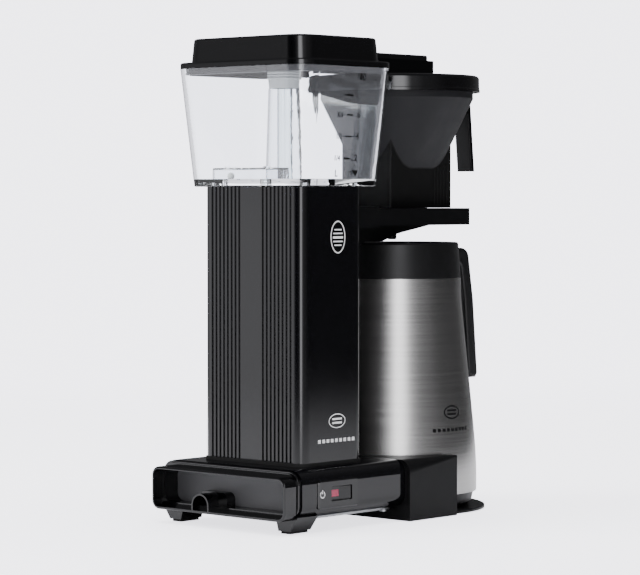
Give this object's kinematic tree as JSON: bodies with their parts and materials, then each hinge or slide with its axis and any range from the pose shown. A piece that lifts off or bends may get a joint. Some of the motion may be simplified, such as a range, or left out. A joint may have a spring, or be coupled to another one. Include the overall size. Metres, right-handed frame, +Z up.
{
  "type": "filter coffee brewer",
  "caption": "Filter coffee brewer: clear water tank on a ribbed column, outlet arm, conical brew basket on a shelf with drip stop, and an insulated steel carafe held by a bracket.",
  "frame": {"origin": "centre of the overall footprint at table level", "axes": "+Z up, +X from the cord end towards the carafe handle, +Y away from the switch side"},
  "size_m": [0.3126, 0.1608, 0.39],
  "materials": {
    "black_paint": "gloss black powder paint on aluminium",
    "gloss_black": "gloss black moulded plastic",
    "satin_black": "satin black moulded plastic",
    "soft_black": "matt dark grey moulded plastic",
    "clear_plastic": "clear moulded copolyester",
    "milky_plastic": "translucent natural polypropylene",
    "glass_tube": "borosilicate glass",
    "steel": "stainless steel, brushed",
    "zinc_steel": "zinc plated steel",
    "copper": "copper tube",
    "rubber": "black rubber",
    "silicone": "translucent silicone rubber",
    "red_lens": "red translucent plastic",
    "brass": "brass blades",
    "white_insulator": "white ceramic-filled plastic"
  },
  "bodies": {
    "brewer": {"base_housing": "black_paint", "base_plate": "zinc_steel", "base_screws": "zinc_steel", "corner_feet": "gloss_black", "end_cap": "gloss_black", "end_panel": "soft_black", "cord_tunnel": "gloss_black", "cord_grommet": "rubber", "foot_pads": "rubber", "carafe_bracket": "soft_black", "carafe_disc": "soft_black", "switch_plate": "gloss_black", "switch_body": "satin_black", "switch_terminals": "brass", "terminal_block": "white_insulator", "column_gasket": "rubber", "column_shell": "black_paint", "column_cover": "satin_black", "column_foot": "zinc_steel", "column_screws": "zinc_steel", "column_top": "satin_black", "tank_screws": "zinc_steel", "boiler_tube": "copper", "heating_rod": "steel", "boiler_clamps": "zinc_steel", "thermostat_strip": "zinc_steel", "thermostats": "white_insulator", "riser_hose": "silicone", "supply_hose": "silicone", "riser_tube": "glass_tube", "tank": "clear_plastic", "outlet_seal": "silicone", "riser_guard": "clear_plastic", "riser_collar": "milky_plastic", "valve_cover": "clear_plastic", "outlet_arm": "satin_black", "arm_cap": "gloss_black", "spray_plate": "satin_black", "basket_shelf": "satin_black", "shelf_screws": "zinc_steel"},
    "switch_rocker": {"rocker": "gloss_black", "rocker_lens": "red_lens"},
    "valve_ball": {"check_ball": "silicone"},
    "tank_cover": {"tank_lid": "gloss_black"},
    "basket": {"brew_basket": "soft_black", "basket_handle": "satin_black", "basket_handle_screw": "zinc_steel", "basket_lid": "gloss_black"},
    "drip_stop": {"drip_plunger": "satin_black", "drip_seal": "silicone", "drip_spring": "steel"},
    "carafe": {"carafe_shell": "steel", "carafe_liner": "steel", "carafe_base_ring": "satin_black", "carafe_collar": "satin_black", "carafe_handle": "satin_black"},
    "carafe_cover": {"carafe_lid": "satin_black", "carafe_lid_seal": "silicone", "mixing_tube": "satin_black"}
  },
  "joints": [
    {"name": "rocker_tilt", "type": "hinge", "parent": "brewer", "child": "switch_rocker", "pos_m": [-0.0935, -0.0701, 0.0295], "axis": [0, 0, 1], "range_deg": [0, 14]},
    {"name": "valve_ball_lift", "type": "slide", "parent": "brewer", "child": "valve_ball", "axis": [0, 0, 1], "range_m": [0, 0.0015]},
    {"name": "tank_lid_lift", "type": "slide", "parent": "brewer", "child": "tank_cover", "axis": [0, 0, 1], "range_m": [0, 0.08]},
    {"name": "basket_slide", "type": "slide", "parent": "brewer", "child": "basket", "axis": [1, 0, 0], "range_m": [0, 0.09]},
    {"name": "drip_stop_lift", "type": "slide", "parent": "basket", "child": "drip_stop", "axis": [0, 0, 1], "range_m": [0, 0.003], "stiffness_N_per_m": 300, "deforming": ["drip_spring"]},
    {"name": "carafe_slide", "type": "slide", "parent": "brewer", "child": "carafe", "axis": [1, 0, 0], "range_m": [0, 0.16]},
    {"name": "carafe_lid_turn", "type": "hinge", "parent": "carafe", "child": "carafe_cover", "pos_m": [0.061, 0, 0.21], "axis": [0, 0, 1], "range_deg": [0, 90]}
  ]
}
